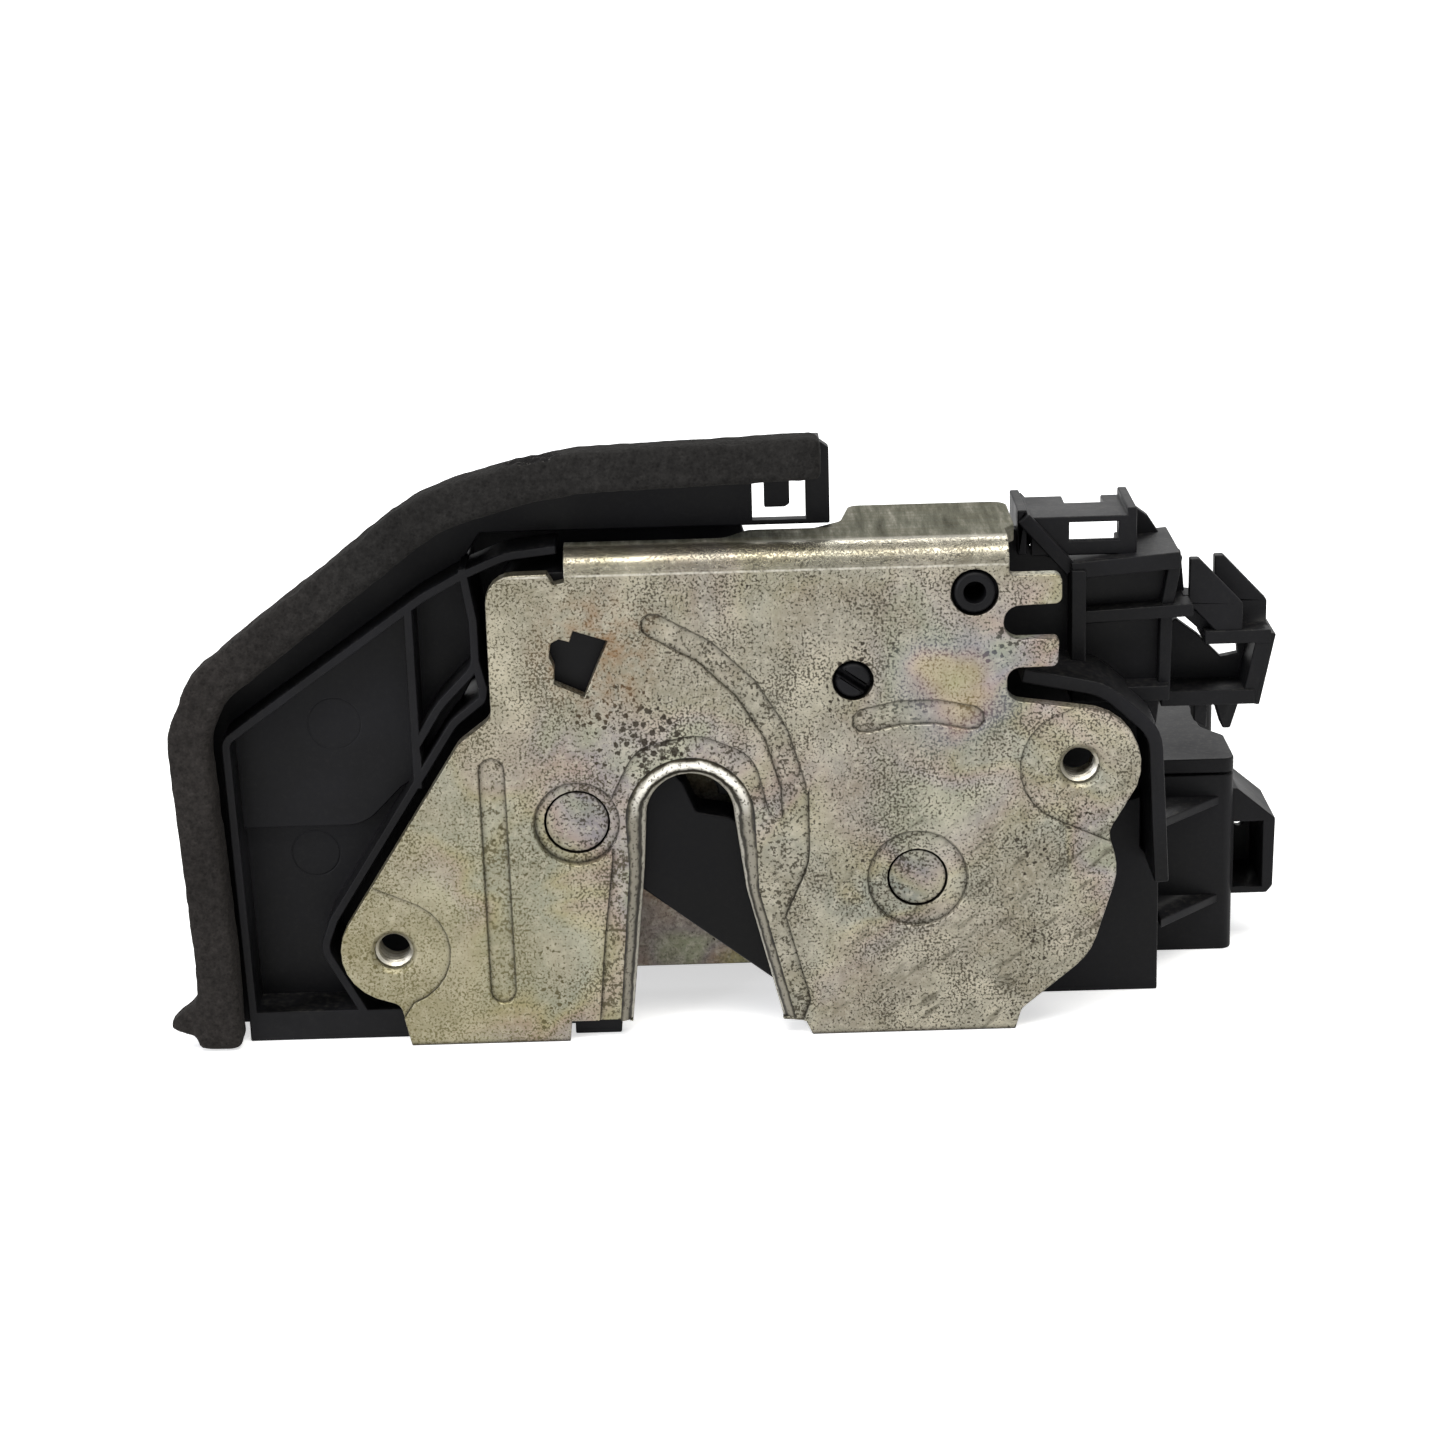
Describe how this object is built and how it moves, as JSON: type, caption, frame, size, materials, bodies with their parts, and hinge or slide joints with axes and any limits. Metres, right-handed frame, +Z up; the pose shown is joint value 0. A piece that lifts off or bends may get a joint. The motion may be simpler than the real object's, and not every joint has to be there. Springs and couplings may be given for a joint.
{
  "type": "car door lock",
  "caption": "Side door latch for a car: steel lock plate with a fishmouth slot over a rotary claw, black ribbed housing with a foam seal, and a lock actuator behind.",
  "frame": {"origin": "on the front face of the lock plate, on the middle of the fishmouth slot, 45 mm above the floor", "axes": "+X to the right along the lock plate, +Y back into the depth of the latch, +Z up"},
  "size_m": [0.1466, 0.0784, 0.0784],
  "materials": {
    "lock_plate": "zinc plated, passivated, speckled with age",
    "claw_rivet": "bare drawn steel, satin",
    "pawl_rivet": "bare drawn steel, satin",
    "latch_case": "black glass-filled polyamide, satin",
    "back_plate": "zinc plated, passivated, speckled with age",
    "striker_bumper": "black, matt",
    "claw_stop": "black, matt",
    "pawl_stop": "black, matt",
    "claw_switch": "natural acetal, satin",
    "pawl_switch": "natural acetal, satin",
    "main_housing": "black glass-filled polyamide, satin",
    "foam_seal": "open-cell foam, matt",
    "lever_pin": "bare drawn steel, satin",
    "actuator_housing": "black glass-filled polyamide, satin",
    "actuator_cover": "black glass-filled polyamide, satin",
    "cover_screw_1": "bare drawn steel, satin",
    "cover_screw_2": "bare drawn steel, satin",
    "cover_screw_3": "bare drawn steel, satin",
    "cover_screw_4": "bare drawn steel, satin",
    "cover_screw_5": "bare drawn steel, satin",
    "connector_socket": "black glass-filled polyamide, satin",
    "contact_strip": "machined, satin",
    "lock_motor": "bare drawn steel, satin",
    "wheel_axle": "bare drawn steel, satin",
    "claw": "black polymer coating over steel, satin",
    "claw_spring": "drawn spring wire, satin",
    "pawl": "bare drawn steel, satin",
    "pawl_spring": "drawn spring wire, satin",
    "release_lever": "bare drawn steel, satin",
    "inside_release_lever": "bare drawn steel, satin",
    "motor_worm": "machined, satin",
    "worm_wheel": "natural acetal, satin",
    "lock_lever": "bare drawn steel, satin",
    "key_coupler": "natural acetal, satin"
  },
  "bodies": {
    "lock_body": {"lock_plate": "lock_plate", "claw_rivet": "claw_rivet", "pawl_rivet": "pawl_rivet", "latch_case": "latch_case", "back_plate": "back_plate", "striker_bumper": "striker_bumper", "claw_stop": "claw_stop", "pawl_stop": "pawl_stop", "claw_switch": "claw_switch", "pawl_switch": "pawl_switch", "main_housing": "main_housing", "foam_seal": "foam_seal", "lever_pin": "lever_pin", "actuator_housing": "actuator_housing", "actuator_cover": "actuator_cover", "cover_screw_1": "cover_screw_1", "cover_screw_2": "cover_screw_2", "cover_screw_3": "cover_screw_3", "cover_screw_4": "cover_screw_4", "cover_screw_5": "cover_screw_5", "connector_socket": "connector_socket", "contact_strip": "contact_strip", "lock_motor": "lock_motor", "wheel_axle": "wheel_axle"},
    "claw_body": {"claw": "claw", "claw_spring": "claw_spring"},
    "pawl_body": {"pawl": "pawl", "pawl_spring": "pawl_spring"},
    "release_lever_body": {"release_lever": "release_lever"},
    "inside_lever_body": {"inside_release_lever": "inside_release_lever"},
    "worm_body": {"motor_worm": "motor_worm"},
    "wheel_body": {"worm_wheel": "worm_wheel"},
    "lock_lever_body": {"lock_lever": "lock_lever"},
    "key_body": {"key_coupler": "key_coupler"}
  },
  "joints": [
    {"name": "claw_pivot", "type": "hinge", "parent": "lock_body", "child": "claw_body", "pos_m": [-0.0149, 0.0063, -0.0155], "axis": [0, -1, 0], "range_deg": [0, 62], "stiffness_Nm_per_rad": 0.06, "springref_deg": -45.84},
    {"name": "pawl_pivot", "type": "hinge", "parent": "lock_body", "child": "pawl_body", "pos_m": [0.028, 0.0063, -0.0241], "axis": [0, -1, 0], "range_deg": [0, 16]},
    {"name": "release_lever_pivot", "type": "hinge", "parent": "lock_body", "child": "release_lever_body", "pos_m": [0.036, 0.0191, -0.004], "axis": [0, -1, 0], "range_deg": [0, 20]},
    {"name": "inside_release_pivot", "type": "hinge", "parent": "lock_body", "child": "inside_lever_body", "pos_m": [0.036, 0.0212, -0.004], "axis": [0, -1, 0], "range_deg": [0, 25], "stiffness_Nm_per_rad": 0.01, "springref_deg": -28.65},
    {"name": "motor_spin", "type": "hinge", "parent": "lock_body", "child": "worm_body", "pos_m": [0.016, 0.05829, -0.0325], "axis": [1, 0, 0], "range_deg": [0, 1560]},
    {"name": "wheel_spin", "type": "hinge", "parent": "lock_body", "child": "wheel_body", "pos_m": [0.016, 0.044, -0.0325], "axis": [0, 0, 1], "range_deg": [0, 60]},
    {"name": "lock_lever_pivot", "type": "hinge", "parent": "lock_body", "child": "lock_lever_body", "pos_m": [0.04, 0.044, -0.0293], "axis": [0, 0, 1], "range_deg": [-19, 0]},
    {"name": "key_spin", "type": "hinge", "parent": "lock_body", "child": "key_body", "pos_m": [0.054, 0.058, -0.02], "axis": [0, 0, 1], "range_deg": [-60, 60]}
  ],
  "couplings": [
    {"joint": "release_lever_pivot", "follows": "pawl_pivot", "ratio": 1.25},
    {"joint": "wheel_spin", "follows": "motor_spin", "ratio": 0.038461},
    {"joint": "lock_lever_pivot", "follows": "motor_spin", "ratio": -0.01217}
  ]
}
